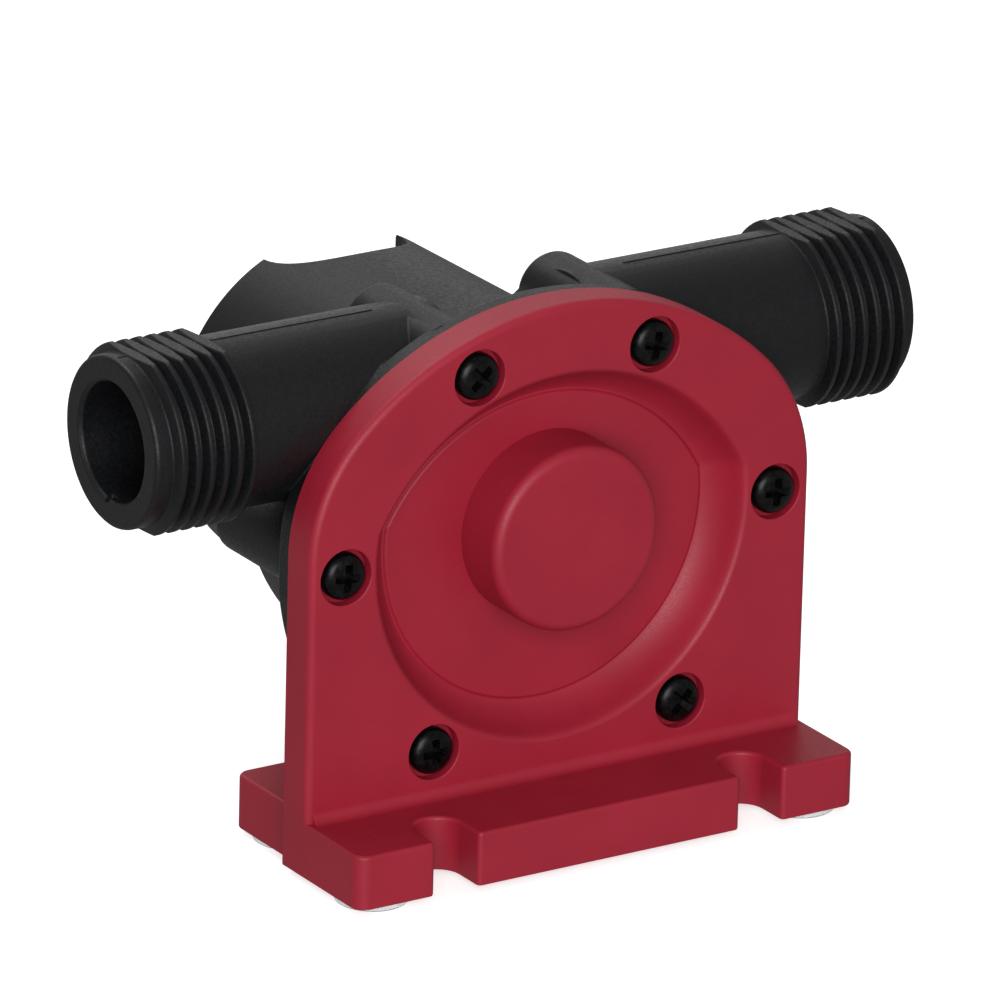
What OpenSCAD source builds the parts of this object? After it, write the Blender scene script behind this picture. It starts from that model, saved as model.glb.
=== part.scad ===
// Drill powered self-priming pump. A flexible impeller on a round shaft turns in a
// cammed chamber between two opposed hose ports. The red cover carries the base,
// and the black housing carries the ports, the chamber and the bell round the shaft.
// Millimetres, +Z up, front towards -Y. The origin lies under the middle of the
// part's outline, on the surface that the foot pads stand on.

/* [Cover plate] */
// Width of the cover plate and of the base in front of it
plate_w = 81.4; // [81:0.2:86]
// Thickness of the cover plate
plate_t = 5.9; // [5.4:0.1:7]
// Radius of the plate's two round shoulders
shoulder_r = 25; // [23:0.5:28]
// Height of the shoulders' centres above the pump's axis
shoulder_rise = 1.8; // [0.7:0.1:4.7]
// Radius of the arc over the top of the plate
crown_r = 47.7; // [47:0.1:56]
// Height of the pump's axis above the underside of the base
axis_z = 43.3; // [42:0.1:45]

/* [Base] */
// Height of the base
base_h = 7.9; // [6:0.1:8.4]
// How far the base reaches in front of the plate's face
base_front = 13.9; // [12:0.1:24]
// How far the rear foot reaches behind the plate's rear face
base_rear = 15.9; // [13:0.1:24]
// Width of the rear foot
rear_foot_w = 77.8; // [74:0.2:80]
// Plan radius of the base's corners
base_corner_r = 2; // [1:0.1:4]
// Radius of the fillets between the plate and the base
fillet_r = 1.6; // [0.8:0.1:2.4]
// Width of each fixing slot
slot_w = 7; // [5:0.1:7.4]
// Distance of each slot from the middle of the base
slot_x = 24.9; // [20:0.1:26]
// Distance from an edge of the base to the centre of a slot's round end
slot_reach = 4.9; // [3:0.1:6]
// Width of the chamfer round the top of each slot
slot_chamfer = 0.7; // [0.2:0.1:1]
// Diameter of the clear foot pads
pad_d = 10.4; // [8:0.1:10.8]
// Thickness of the foot pads
pad_t = 1; // [0.8:0.1:3]
// Margin between a pad and the edges of the base
pad_margin = 0.5; // [0.2:0.1:0.8]

/* [Pocket in the cover] */
// Radius of the pocket's lip in the plate's face
lip_r = 30.1; // [29:0.1:31]
// Radius of the pocket at its floor
pocket_r = 26.5; // [26:0.1:28]
// Depth of the pocket, to the groove round the disc
pocket_depth = 5.5; // [4.5:0.1:5.8]
// Radius of the raised disc in the pocket
disc_r = 25.6; // [22:0.1:26]
// How far the disc stands above the groove round it
disc_rise = 0.5; // [0.3:0.1:1]
// Radius of the round boss in front of the shaft
boss_r = 13.4; // [11:0.1:15]
// How far the boss stands in front of the plate's face
boss_proud = 3.8; // [3:0.1:8]
// Radius of the boss's front edge
boss_edge_r = 1.5; // [0.5:0.1:2.5]
// Width of the bevel on the plate's front edge
plate_bevel = 0.8; // [0.3:0.1:1.5]

/* [Chamber and impeller] */
// Radius of the chamber
chamber_r = 26; // [25:0.1:26.4]
// Radius of the arc that flattens the top of the chamber
cam_r = 29.2; // [28.8:0.1:30]
// How far that arc's centre lies below the pump's axis
cam_drop = 10.2; // [9.6:0.1:10.4]
// Width of the impeller
impeller_w = 20; // [18:0.1:20.4]
// Running gap between the impeller and each wall of the chamber
impeller_gap = 0.3; // [0.1:0.05:0.5]
// Radius of the impeller's hard hub
hub_r = 9; // [8:0.1:10]
// Thickness of the rubber round the hub
hub_rubber = 2.2; // [1.5:0.1:3]
// Number of vanes
vane_count = 6; // [5:1:8]
// Thickness of a vane at its root
vane_root = 3.4; // [2.4:0.1:4]
// Diameter of the bead along a vane's tip
vane_bead_d = 3; // [2:0.1:3.4]

/* [Housing] */
// Thickness of the housing's flange
flange_t = 3.1; // [2.6:0.1:5]
// Radius of the flange round the lower half of the housing
flange_r = 40.6; // [40:0.1:40.6]
// Radius of the chamber's body where it meets the flange
body_front_r = 31.4; // [31:0.1:32]
// Radius of the chamber's body at its rear rim
body_rear_r = 29.6; // [28.5:0.1:31]
// Distance of the body's rear rim behind the plate's face
body_end = 36; // [34:0.5:40]
// Thickness of the wall behind the chamber
rear_wall = 3; // [2.4:0.1:4]
// Diameter of the bell round the shaft, at its rim
bell_d = 50.2; // [48:0.1:54]
// Widening of the bell's diameter towards the housing
bell_draft = 0.8; // [0:0.1:1.6]
// Wall thickness of the bell
bell_wall = 2.6; // [2:0.1:4]
// Distance of the bell's rim behind the plate's face
bell_end = 62; // [60:0.5:75]
// Radius of the scallops in the bell's rim
scallop_r = 11; // [8:0.5:13]
// Number of ribs inside the bell
rib_count = 4; // [3:1:8]
// Thickness of the ribs inside the bell
rib_t = 2; // [1.6:0.1:3]

/* [Ports] */
// Distance between the end faces of the two ports
port_span = 123.4; // [118:0.2:140]
// Height of the ports' axis above the pump's axis
port_rise = 18.1; // [17.7:0.1:18.7]
// Outside diameter of the port tubes
tube_d = 24.2; // [23:0.1:24.6]
// Diameter of the bore that opens at each port
port_bore_d = 16.9; // [15:0.1:18]
// Length of the wide bore in each port
port_bore_len = 31; // [25:0.5:33]
// Diameter of the passage from the bore to the chamber
throat_d = 12; // [10:0.1:12.4]
// Distance from the middle of the pump to the way down into the chamber
elbow_x = 17.5; // [16:0.1:18]
// Diameter of the way down into the chamber
drop_d = 11; // [9:0.1:11.6]
// Outside diameter of the hose thread
thread_d = 27; // [26.6:0.1:28]
// Pitch of the hose thread
thread_pitch = 2.209; // [1.8:0.001:2.3]
// Number of thread ridges on each port
thread_count = 7; // [5:1:8]
// Width across the two flats on the thread
thread_flats = 24.7; // [24.6:0.1:26]

/* [Shaft, bushes and seal] */
// Diameter of the drive shaft
shaft_d = 8; // [7:0.1:8.2]
// How far the shaft stands out of the bell
shaft_out = 8; // [6:0.5:20]
// Outside diameter of the two bushes
bush_d = 14; // [12:0.1:15]
// Length of the rear bush
rear_bush_len = 8; // [6:0.5:9]
// Diameter of the thrust washers
washer_d = 17; // [16:0.1:17.6]
// Thickness of the thrust washers
washer_t = 1.2; // [1:0.1:1.5]
// Outside diameter of the shaft seal's metal case
seal_d = 22; // [20:0.1:23]
// Width of the shaft seal
seal_w = 7; // [6:0.1:8]
// Thickness of the ring that holds the seal in
retainer_t = 2; // [1.5:0.1:3]
// Diameter of the pin that drives the hub
drive_pin_d = 3; // [2.4:0.1:3.4]

/* [Screws and bosses] */
// Diameter of the screws' shanks
screw_d = 3.5; // [3:0.1:3.8]
// Length of the screws under their heads
screw_len = 11.6; // [9:0.1:11.8]
// Diameter of the screws' heads
head_d = 7; // [6:0.1:7.4]
// Height of the screws' heads
head_h = 2.3; // [1.8:0.1:2.5]
// Diameter of the round recesses for the heads
recess_d = 8.4; // [7.6:0.1:9]
// Depth of those recesses
recess_depth = 2.6; // [2.6:0.1:3]
// Diameter of the two screw bosses above the ports
top_boss_d = 11; // [9.5:0.1:12]
// Diameter of the four screw bosses round the chamber
side_boss_d = 9.4; // [8.5:0.1:9.6]
// Distance of the bosses' rear ends behind the plate's face
boss_end = 27.2; // [20:0.1:30]
// Radius of the circle that the four outer screws lie on
screw_circle_r = 35; // [34.8:0.1:35.4]
// Distance of each top screw from the middle of the pump
top_screw_x = 14.2; // [13.6:0.1:14.8]
// Height of the top screws above the pump's axis
top_screw_rise = 24.9; // [24.6:0.1:25.2]

/* [Hidden] */

// Roundness of the drawn curves
curve_fn = 96;
small_fn = 48;
$fn = curve_fn;

// Clearances: a running fit, a bonded or pressed joint, and a loose joint
run_gap = 0.05;
seat_gap = 0.03;
loose_gap = 0.3;
// How far a cut runs past the face that it opens
over = 1;

// Rear wall, spigot and gasket between the cover and the housing
spigot_h = 1.7;
gasket_t = 1;
gasket_w = 2.9;
spigot_grow = 3;

// Places along the pump's axis, behind the plate's face
cover_inner = plate_t + spigot_h;
impeller_front = cover_inner + impeller_gap;
impeller_rear = impeller_front + impeller_w;
chamber_rear = impeller_rear + impeller_gap;
flange_rear = plate_t + flange_t;
cavity_front = chamber_rear + rear_wall;

// Front bush in the boss
boss_skin = 3;
front_seat = boss_skin - boss_proud;
front_washer_front = impeller_front - run_gap - washer_t;
rear_washer_rear = impeller_rear + run_gap + washer_t;
rear_bush_rear = rear_washer_rear + rear_bush_len;

// Seal, its tube and its retainer
seal_shoulder = 1;
seal_front = rear_bush_rear + seal_shoulder;
seal_rear = seal_front + seal_w;
retainer_rear = seal_rear + retainer_t;
seal_case_t = 0.8;
seal_tube_wall = 3;
seal_tube_r = seal_d / 2 + seal_tube_wall;
shoulder_hole_r = shaft_d / 2 + 1;
lip_body_w = 2.4;
lip_w = 1.2;
lip_reach = 3.6;
garter_d = 1.4;

// Shaft ends and circlips
shaft_front = front_seat + loose_gap;
shaft_rear = bell_end + shaft_out;
shaft_chamfer = 0.8;
clip_t = 0.8;
clip_w = 2;
clip_depth = 0.5;
clip_mouth_share = 0.5;
clip_recess = clip_t + run_gap;
clip_room = 0.4;

// Ports
port_z = axis_z + port_rise;
port_y = plate_t + run_gap + tube_d / 2;
tube_root = elbow_x - throat_d / 2;
thread_lead = 0.9;
thread_crest_share = 0.28;
thread_foot_share = 0.86;
port_chamfer = 0.6;
drop_depth = 15;
drop_top = drop_d / 4;

// Screws
tip_len = 2;
cross_l = 4;
cross_w = 0.9;
cross_depth = 1.4;
head_edge_r = 0.9;
clear_gap = 0.25;
pilot_extra = 1;
side_screw_angle = 0.5;
low_screw_angle = 54.8;
boss_round = 1.2;

// How much lower the flange's arc over the top is than the plate's, besides the gap
crown_ease = 0.06;

// The middle of the part's outline from front to back
mid_y = (shaft_rear - base_front) / 2;

// Centres of the shoulders, and of the arc over the plate below them
shoulder_z = axis_z + shoulder_rise;
shoulder_x = plate_w / 2 - shoulder_r;
crown_z = shoulder_z - sqrt(pow(crown_r - shoulder_r, 2) - pow(shoulder_x, 2));
crown_angle = atan2(shoulder_z - crown_z, shoulder_x);

// Bell
bell_r = bell_d / 2;
bell_front_r = bell_r + bell_draft / 2;
bell_inner_r = bell_r - bell_wall;
rib_len = 9;

// Places of the six screws, as [x, height above the base's underside]
screw_places = [
    for (side = [-1, 1]) [side * top_screw_x, axis_z + top_screw_rise],
    for (side = [-1, 1]) [side * screw_circle_r * cos(side_screw_angle),
                          axis_z - screw_circle_r * sin(side_screw_angle)],
    for (side = [-1, 1]) [side * screw_circle_r * cos(low_screw_angle),
                          axis_z - screw_circle_r * sin(low_screw_angle)]
];

// Puts a piece that is drawn from the plate's face and the base's underside in its place
module place() translate([0, -mid_y, pad_t]) children();

// Extrudes an upright outline, drawn as x and height, from one depth to another
module slab(near, far) translate([0, far, 0]) rotate([90, 0, 0]) linear_extrude(far - near) children();

// Turns a profile, drawn as radius and depth, about the pump's axis
module turned() translate([0, 0, axis_z]) rotate([-90, 0, 0]) rotate_extrude() children();

// A ring about the pump's axis
module ring(outer, inner, near, far) turned() translate([inner, near]) square([outer - inner, far - near]);

// A rod along the depth of the pump at x and height z
module rod(r, near, far, x = 0, z = axis_z, fn = small_fn)
    translate([x, near, z]) rotate([-90, 0, 0]) cylinder(r = r, h = far - near, $fn = fn);

// The plate's outline, drawn smaller all round by inset. With ease the arc over the top is
// that much lower, so that it crosses the shoulders' arcs instead of touching them.
module plate_outline(inset = 0, ease = 0) {
    half_w = plate_w / 2 - inset;
    reach = 2 * crown_r;
    for (side = [-1, 1]) translate([side * shoulder_x, shoulder_z]) circle(r = shoulder_r - inset);
    translate([-half_w, 0]) square([2 * half_w, shoulder_z]);
    intersection() {
        translate([0, crown_z]) circle(r = crown_r - inset - ease);
        polygon([[0, crown_z],
                 [reach * cos(crown_angle), crown_z + reach * sin(crown_angle)],
                 [-reach * cos(crown_angle), crown_z + reach * sin(crown_angle)]]);
    }
}

// The chamber's outline, a circle with a flatter arc over the top, larger all round by grow
module cam_outline(grow = 0) intersection() {
    translate([0, axis_z]) circle(r = chamber_r + grow);
    translate([0, axis_z - cam_drop]) circle(r = cam_r + grow);
}

// A solid of that outline that grows from one depth to the other
module cam_cone(near, far, near_grow, far_grow) intersection() {
    translate([0, near, axis_z]) rotate([-90, 0, 0])
        cylinder(r1 = chamber_r + near_grow, r2 = chamber_r + far_grow, h = far - near);
    translate([0, near, axis_z - cam_drop]) rotate([-90, 0, 0])
        cylinder(r1 = cam_r + near_grow, r2 = cam_r + far_grow, h = far - near);
}

// One fixing slot, open towards the edge of the base that lies at edge_y
module slot(edge_y, inward) {
    end_y = edge_y + inward * slot_reach;
    mouth_y = edge_y - inward * over;
    translate([0, end_y, -over]) cylinder(d = slot_w, h = base_h + 2 * over, $fn = small_fn);
    translate([0, end_y, base_h - slot_chamfer])
        cylinder(d1 = slot_w, d2 = slot_w + 2 * slot_chamfer, h = slot_chamfer, $fn = small_fn);
    translate([-slot_w / 2, min(end_y, mouth_y), -over])
        cube([slot_w, abs(mouth_y - end_y), base_h + 2 * over]);
}

// A block of the base with its two outer corners rounded in plan
module base_block(width, near, far, round_near) {
    r = base_corner_r;
    corner_y = round_near ? near + r : far - r;
    for (side = [-1, 1]) translate([side * (width / 2 - r), corner_y, 0]) cylinder(r = r, h = base_h, $fn = small_fn);
    translate([r - width / 2, near, 0]) cube([width - 2 * r, far - near, base_h]);
    translate([-width / 2, round_near ? near + r : near, 0]) cube([width, far - near - r, base_h]);
}

// The fillet between the plate and the base, along the whole width
module base_fillet(width, face_y, away) difference() {
    translate([-width / 2, away > 0 ? face_y : face_y - fillet_r, base_h]) cube([width, fillet_r, fillet_r]);
    translate([-width / 2 - over, face_y + away * fillet_r, base_h + fillet_r]) rotate([0, 90, 0])
        cylinder(r = fillet_r, h = width + 2 * over, $fn = small_fn);
}

// The rear foot, cut clear of the housing's body and of its low screw bosses
module rear_foot() difference() {
    base_block(rear_foot_w, 0, plate_t + base_rear, false);
    cam_cone(plate_t, body_end, body_front_r - chamber_r + loose_gap, body_rear_r - chamber_r + loose_gap);
    for (p = screw_places)
        rod(side_boss_d / 2 + loose_gap, plate_t, plate_t + base_rear + over, p[0], p[1]);
}

// The red cover: plate, base, pocket, boss and the spigot that enters the housing
module front_cover() color("#9E2A3C") place() difference() {
    union() {
        difference() {
            union() {
                slab(plate_bevel, plate_t) plate_outline();
                slab(0, plate_t) plate_outline(plate_bevel);
                base_block(plate_w, -base_front, plate_t, true);
                rear_foot();
                base_fillet(plate_w - 2 * plate_bevel, 0, -1);
            }
            cam_cone(0, pocket_depth, lip_r - chamber_r, pocket_r - chamber_r);
        }
        slab(pocket_depth - disc_rise, cover_inner) cam_outline(disc_r - chamber_r);
        slab(pocket_depth, cover_inner) cam_outline(spigot_grow);
        turned() {
            translate([0, boss_edge_r - boss_proud]) square([boss_r, cover_inner - boss_edge_r + boss_proud]);
            translate([0, -boss_proud]) square([boss_r - boss_edge_r, boss_edge_r]);
            intersection() {
                translate([boss_r - boss_edge_r, boss_edge_r - boss_proud]) circle(r = boss_edge_r);
                translate([0, -boss_proud]) square([boss_r, boss_proud]);
            }
        }
    }
    rod(bush_d / 2 + seat_gap, front_seat, cover_inner + over);
    rod(washer_d / 2 + loose_gap, front_washer_front, cover_inner + over);
    for (p = screw_places) {
        rod(recess_d / 2, -base_front - over, recess_depth, p[0], p[1]);
        rod(screw_d / 2 + clear_gap, -over, plate_t + over, p[0], p[1]);
    }
    for (side = [-1, 1]) translate([side * slot_x, 0, 0]) {
        slot(-base_front, 1);
        slot(plate_t + base_rear, -1);
    }
}

// Threaded port on the right: tube, ridges with two flats, and nothing cut yet
module port_body() translate([0, port_y, port_z]) rotate([0, 90, 0]) {
    end = port_span / 2;
    translate([0, 0, tube_root]) cylinder(d = tube_d, h = end - port_chamfer - tube_root);
    translate([0, 0, end - port_chamfer])
        cylinder(d1 = tube_d, d2 = tube_d - 2 * port_chamfer, h = port_chamfer);
    intersection() {
        rotate_extrude() for (i = [0 : thread_count - 1]) {
            mid = end - thread_lead - (i + 0.5) * thread_pitch;
            foot = thread_foot_share * thread_pitch / 2;
            crest = thread_crest_share * thread_pitch / 2;
            inner_r = (port_bore_d + tube_d) / 4;
            polygon([[inner_r, mid - foot], [tube_d / 2, mid - foot], [thread_d / 2, mid - crest],
                     [thread_d / 2, mid + crest], [tube_d / 2, mid + foot], [inner_r, mid + foot]]);
        }
        translate([-thread_flats / 2, -thread_d, 0]) cube([thread_flats, 2 * thread_d, end]);
    }
}

// The way through one port: wide bore, throat and the way down into the chamber
module port_cut() translate([0, port_y, port_z]) {
    end = port_span / 2;
    translate([end - port_bore_len, 0, 0]) rotate([0, 90, 0]) cylinder(d = port_bore_d, h = port_bore_len + over);
    translate([elbow_x, 0, 0]) rotate([0, 90, 0])
        cylinder(d = throat_d, h = end - port_bore_len - elbow_x + over, $fn = small_fn);
    translate([elbow_x, 0, -drop_depth]) cylinder(d = drop_d, h = drop_depth + drop_top, $fn = small_fn);
}

// A boss that a cover screw bites into, with a rounded rear end
module screw_boss(d) {
    r = d / 2;
    translate([0, flange_rear - over, 0]) rotate([-90, 0, 0]) rotate_extrude($fn = small_fn) {
        len = boss_end - flange_rear + over;
        square([r, len - boss_round]);
        square([r - boss_round, len]);
        intersection() {
            translate([r - boss_round, len - boss_round]) circle(r = boss_round, $fn = small_fn);
            square([r, len]);
        }
    }
}

// The flange's outline: the plate's above the axis and a circle below it, clear of the foot
module flange_outline() {
    foot_top = base_h + loose_gap;
    intersection() {
        plate_outline(loose_gap, crown_ease);
        translate([-plate_w, axis_z]) square([2 * plate_w, plate_w]);
    }
    intersection() {
        translate([0, axis_z]) circle(r = flange_r);
        translate([-plate_w / 2 + loose_gap, foot_top]) square([plate_w - 2 * loose_gap, axis_z - foot_top + over]);
    }
}

// The black housing: flange, chamber, ports, screw bosses, bell and the seal's tube
module pump_housing() color("#26282C") place() difference() {
    union() {
        difference() {
            union() {
                slab(plate_t, flange_rear) flange_outline();
                cam_cone(flange_rear - over, body_end, body_front_r - chamber_r, body_rear_r - chamber_r);
                translate([0, cavity_front, axis_z]) rotate([-90, 0, 0])
                    cylinder(r1 = bell_front_r, r2 = bell_r, h = bell_end - cavity_front);
                for (side = [0, 1]) mirror([side, 0, 0]) port_body();
                for (i = [0 : len(screw_places) - 1])
                    translate([screw_places[i][0], 0, screw_places[i][1]])
                        screw_boss(i < 2 ? top_boss_d : side_boss_d);
            }
            rod(bell_inner_r, cavity_front, bell_end + over, fn = curve_fn);
            translate([0, bell_end, axis_z - 2 * bell_r]) cylinder(r = scallop_r, h = 4 * bell_r);
        }
        rod(seal_tube_r, cavity_front - over, retainer_rear, fn = curve_fn);
        for (i = [0 : rib_count - 1])
            translate([0, 0, axis_z]) rotate([0, 45 + i * 360 / rib_count, 0])
                translate([seal_tube_r - over, cavity_front - over, -rib_t / 2])
                    cube([bell_inner_r - seal_tube_r + 2 * over, rib_len + over, rib_t]);
    }
    slab(plate_t - over, cover_inner + gasket_t) cam_outline(spigot_grow + clear_gap);
    slab(plate_t - over, chamber_rear) cam_outline();
    for (side = [0, 1]) mirror([side, 0, 0]) port_cut();
    rod(washer_d / 2 + loose_gap, chamber_rear - over, rear_washer_rear);
    rod(bush_d / 2 + seat_gap, chamber_rear - over, rear_bush_rear);
    rod(shoulder_hole_r, chamber_rear, retainer_rear + over);
    rod(seal_d / 2 + seat_gap, seal_front, retainer_rear + over);
    for (p = screw_places)
        rod(screw_d / 2 + seat_gap, plate_t - over, recess_depth + screw_len + pilot_extra, p[0], p[1]);
}

// The flat gasket between the cover's spigot and the ledge round the chamber
module cover_gasket() color("#1B1B1D") place() slab(cover_inner, cover_inner + gasket_t) difference() {
    cam_outline(spigot_grow);
    cam_outline(spigot_grow - gasket_w);
}

// Radius of the chamber's wall in the direction that lies at angle a
function wall_r(a) =
    let (arc_r = sqrt(pow(cam_r, 2) - pow(cam_drop * cos(a), 2)) - cam_drop * sin(a)) min(chamber_r, arc_r);

// How far a vane's tip is bent back, in degrees, so that it fits under the wall
vane_root_r = hub_r + hub_rubber - 0.5 * vane_root;
vane_len = chamber_r - impeller_gap - vane_bead_d / 2 - vane_root_r;
function tip_r(a) = wall_r(a) - impeller_gap - vane_bead_d / 2;
function bent_back(a, bend) =
    let (rise = tip_r(a - bend) - vane_root_r, side = sqrt(max(0, pow(vane_len, 2) - pow(rise, 2))))
        side / (vane_root_r + rise / 2) * 180 / PI;
function vane_bend(a, bend = 0, turns = 24) =
    turns == 0 ? bend : vane_bend(a, (3 * bend + bent_back(a, bend)) / 4, turns - 1);

// One vane whose root lies at angle a, swept back to fit under the wall, with a bead at its tip
module vane(a) {
    bend = vane_bend(a);
    rise = tip_r(a - bend) - vane_root_r;
    steps = 8;
    tip_t = vane_bead_d * 0.7;
    function centre(t) = let (r = vane_root_r + t * rise, b = a - bend * pow(t, 1.5)) [r * cos(b), r * sin(b)];
    function across(t) =
        let (d = centre(t + 1 / steps) - centre(t - (t > 0 ? 1 / steps : 0)))
            [-d[1], d[0]] / norm(d) * (vane_root + t * (tip_t - vane_root)) / 2;
    linear_extrude(impeller_w)
        polygon([for (i = [0 : steps]) centre(i / steps) + across(i / steps),
                 for (i = [steps : -1 : 0]) centre(i / steps) - across(i / steps)]);
    translate(centre(1)) cylinder(d = vane_bead_d, h = impeller_w, $fn = small_fn);
}

// The flexible impeller, with its vanes bent where the cam presses them
module impeller() color("#1F1F22") place() translate([0, impeller_rear, axis_z]) rotate([90, 0, 0]) difference() {
    union() {
        cylinder(r = hub_r + hub_rubber, h = impeller_w);
        for (i = [0 : vane_count - 1]) vane(90 + i * 360 / vane_count);
    }
    translate([0, 0, -over]) cylinder(r = hub_r + seat_gap, h = impeller_w + 2 * over);
}

// Middle of the hub, where the drive pin crosses it
pin_y = (impeller_front + impeller_rear) / 2;
pin_len = 2 * hub_r - 1;

// A rod across the pump, through the shaft and the hub
module cross_rod(r, length) translate([-length / 2, pin_y, axis_z]) rotate([0, 90, 0])
    cylinder(r = r, h = length, $fn = small_fn);

// The hard hub inside the impeller, recessed in front for a circlip
module impeller_hub() color("#B08D3C") place() difference() {
    rod(hub_r, impeller_front, impeller_rear);
    rod(shaft_d / 2 + seat_gap, impeller_front - over, impeller_rear + over);
    rod(shaft_d / 2 + clip_w + clip_room, impeller_front - over, impeller_front + clip_recess);
    cross_rod(drive_pin_d / 2 + seat_gap, 2 * hub_r + over);
}

// The round steel shaft, with two circlip grooves and a hole for the drive pin
rear_clip_front = retainer_rear + run_gap;
module drive_shaft() color("#B9BDC2") place() difference() {
    turned() polygon([[0, shaft_front], [shaft_d / 2 - shaft_chamfer, shaft_front],
                      [shaft_d / 2, shaft_front + shaft_chamfer], [shaft_d / 2, shaft_rear - shaft_chamfer],
                      [shaft_d / 2 - shaft_chamfer, shaft_rear], [0, shaft_rear]]);
    for (near = [impeller_front, rear_clip_front])
        ring(shaft_d / 2 + over, shaft_d / 2 - clip_depth, near, near + clip_t + run_gap);
    cross_rod(drive_pin_d / 2 + seat_gap, 2 * shaft_d);
}

// The pin that drives the hub
module drive_pin() color("#C4C7CB") place() cross_rod(drive_pin_d / 2, pin_len);

// A circlip that sits in a groove of the shaft, open towards the top
module circlip(near) {
    mouth = clip_mouth_share * shaft_d;
    difference() {
        ring(shaft_d / 2 + clip_w, shaft_d / 2 - clip_depth + seat_gap, near, near + clip_t);
        translate([-mouth / 2, near - over, axis_z]) cube([mouth, clip_t + 2 * over, shaft_d]);
    }
}
module front_circlip() color("#8F9297") place() circlip(impeller_front + run_gap / 2);
module rear_circlip() color("#8F9297") place() circlip(rear_clip_front + run_gap / 2);

// The two plain bushes that carry the shaft
module front_bush() color("#C9A25A") place()
    ring(bush_d / 2, shaft_d / 2 + run_gap, front_seat, front_washer_front);
module rear_bush() color("#C9A25A") place()
    ring(bush_d / 2, shaft_d / 2 + run_gap, rear_washer_rear, rear_bush_rear);

// The thrust washers on both sides of the hub
module thrust_washer_front() color("#D8D2C4") place()
    ring(washer_d / 2, shaft_d / 2 + run_gap, front_washer_front, front_washer_front + washer_t);
module thrust_washer_rear() color("#D8D2C4") place()
    ring(washer_d / 2, shaft_d / 2 + run_gap, rear_washer_rear - washer_t, rear_washer_rear);

// The shaft seal: metal case, rubber lip and garter spring
module seal_case() color("#9A9DA2") place() {
    ring(seal_d / 2, seal_d / 2 - seal_case_t, seal_front, seal_rear);
    ring(seal_d / 2 - seal_case_t / 2, shaft_d / 2 + lip_reach, seal_rear - seal_case_t, seal_rear);
}
module seal_lip() color("#1B1B1D") place() turned() {
    outer = seal_d / 2 - seal_case_t - seat_gap;
    inner = shaft_d / 2 + run_gap;
    back = seal_rear - seal_case_t - seat_gap;
    polygon([[outer, back], [outer, back - lip_body_w], [inner + lip_w, back - lip_body_w],
             [inner + lip_w, seal_front + lip_w], [inner, seal_front + 2 * lip_w],
             [inner + lip_w / 2, back]]);
}
module seal_spring() color("#C4C7CB") place() turned()
    translate([shaft_d / 2 + run_gap + lip_w + seat_gap + garter_d / 2, seal_front + 2 * lip_w])
        circle(d = garter_d, $fn = small_fn);
module seal_retainer() color("#26282C") place()
    ring(seal_d / 2, shoulder_hole_r + clip_w, seal_rear, retainer_rear);

// One cross-recessed screw with a rounded head, at the origin and pointing along +Y
module screw() rotate([-90, 0, 0]) difference() {
    union() {
        rotate_extrude($fn = small_fn) {
            translate([0, recess_depth - head_h + head_edge_r]) square([head_d / 2, head_h - head_edge_r]);
            translate([0, recess_depth - head_h]) square([head_d / 2 - head_edge_r, head_edge_r]);
            intersection() {
                translate([head_d / 2 - head_edge_r, recess_depth - head_h + head_edge_r])
                    circle(r = head_edge_r, $fn = small_fn);
                translate([0, recess_depth - head_h]) square([head_d / 2, head_h]);
            }
        }
        translate([0, 0, recess_depth]) cylinder(d = screw_d, h = screw_len - tip_len, $fn = small_fn);
        translate([0, 0, recess_depth + screw_len - tip_len])
            cylinder(d1 = screw_d, d2 = screw_d / 3, h = tip_len, $fn = small_fn);
    }
    for (turn = [45, 135]) rotate([0, 0, turn]) translate([-cross_l / 2, -cross_w / 2, recess_depth - head_h - over])
        cube([cross_l, cross_w, cross_depth + over]);
}
module cover_screws() color("#1E1F22") place()
    for (p = screw_places) translate([p[0], 0, p[1]]) screw();

// A clear foot pad under one corner; side is -1 or 1
module front_pad(side) color("#E6E8E8") place()
    translate([side * (plate_w / 2 - pad_margin - pad_d / 2), pad_margin + pad_d / 2 - base_front, -pad_t])
        cylinder(d = pad_d, h = pad_t, $fn = small_fn);
module rear_pad(side) color("#E6E8E8") place()
    translate([side * (rear_foot_w / 2 - pad_margin - pad_d / 2),
               plate_t + base_rear - pad_margin - pad_d / 2, -pad_t])
        cylinder(d = pad_d, h = pad_t, $fn = small_fn);

front_cover();
pump_housing();
cover_gasket();
impeller();
impeller_hub();
drive_shaft();
drive_pin();
front_circlip();
rear_circlip();
front_bush();
rear_bush();
thrust_washer_front();
thrust_washer_rear();
seal_case();
seal_lip();
seal_spring();
seal_retainer();
cover_screws();
front_pad(-1);  // foot_pad_front_left
front_pad(1);  // foot_pad_front_right
rear_pad(-1);  // foot_pad_rear_left
rear_pad(1);  // foot_pad_rear_right
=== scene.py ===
import math

import bmesh
import bpy
from mathutils import Matrix, Vector


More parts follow.
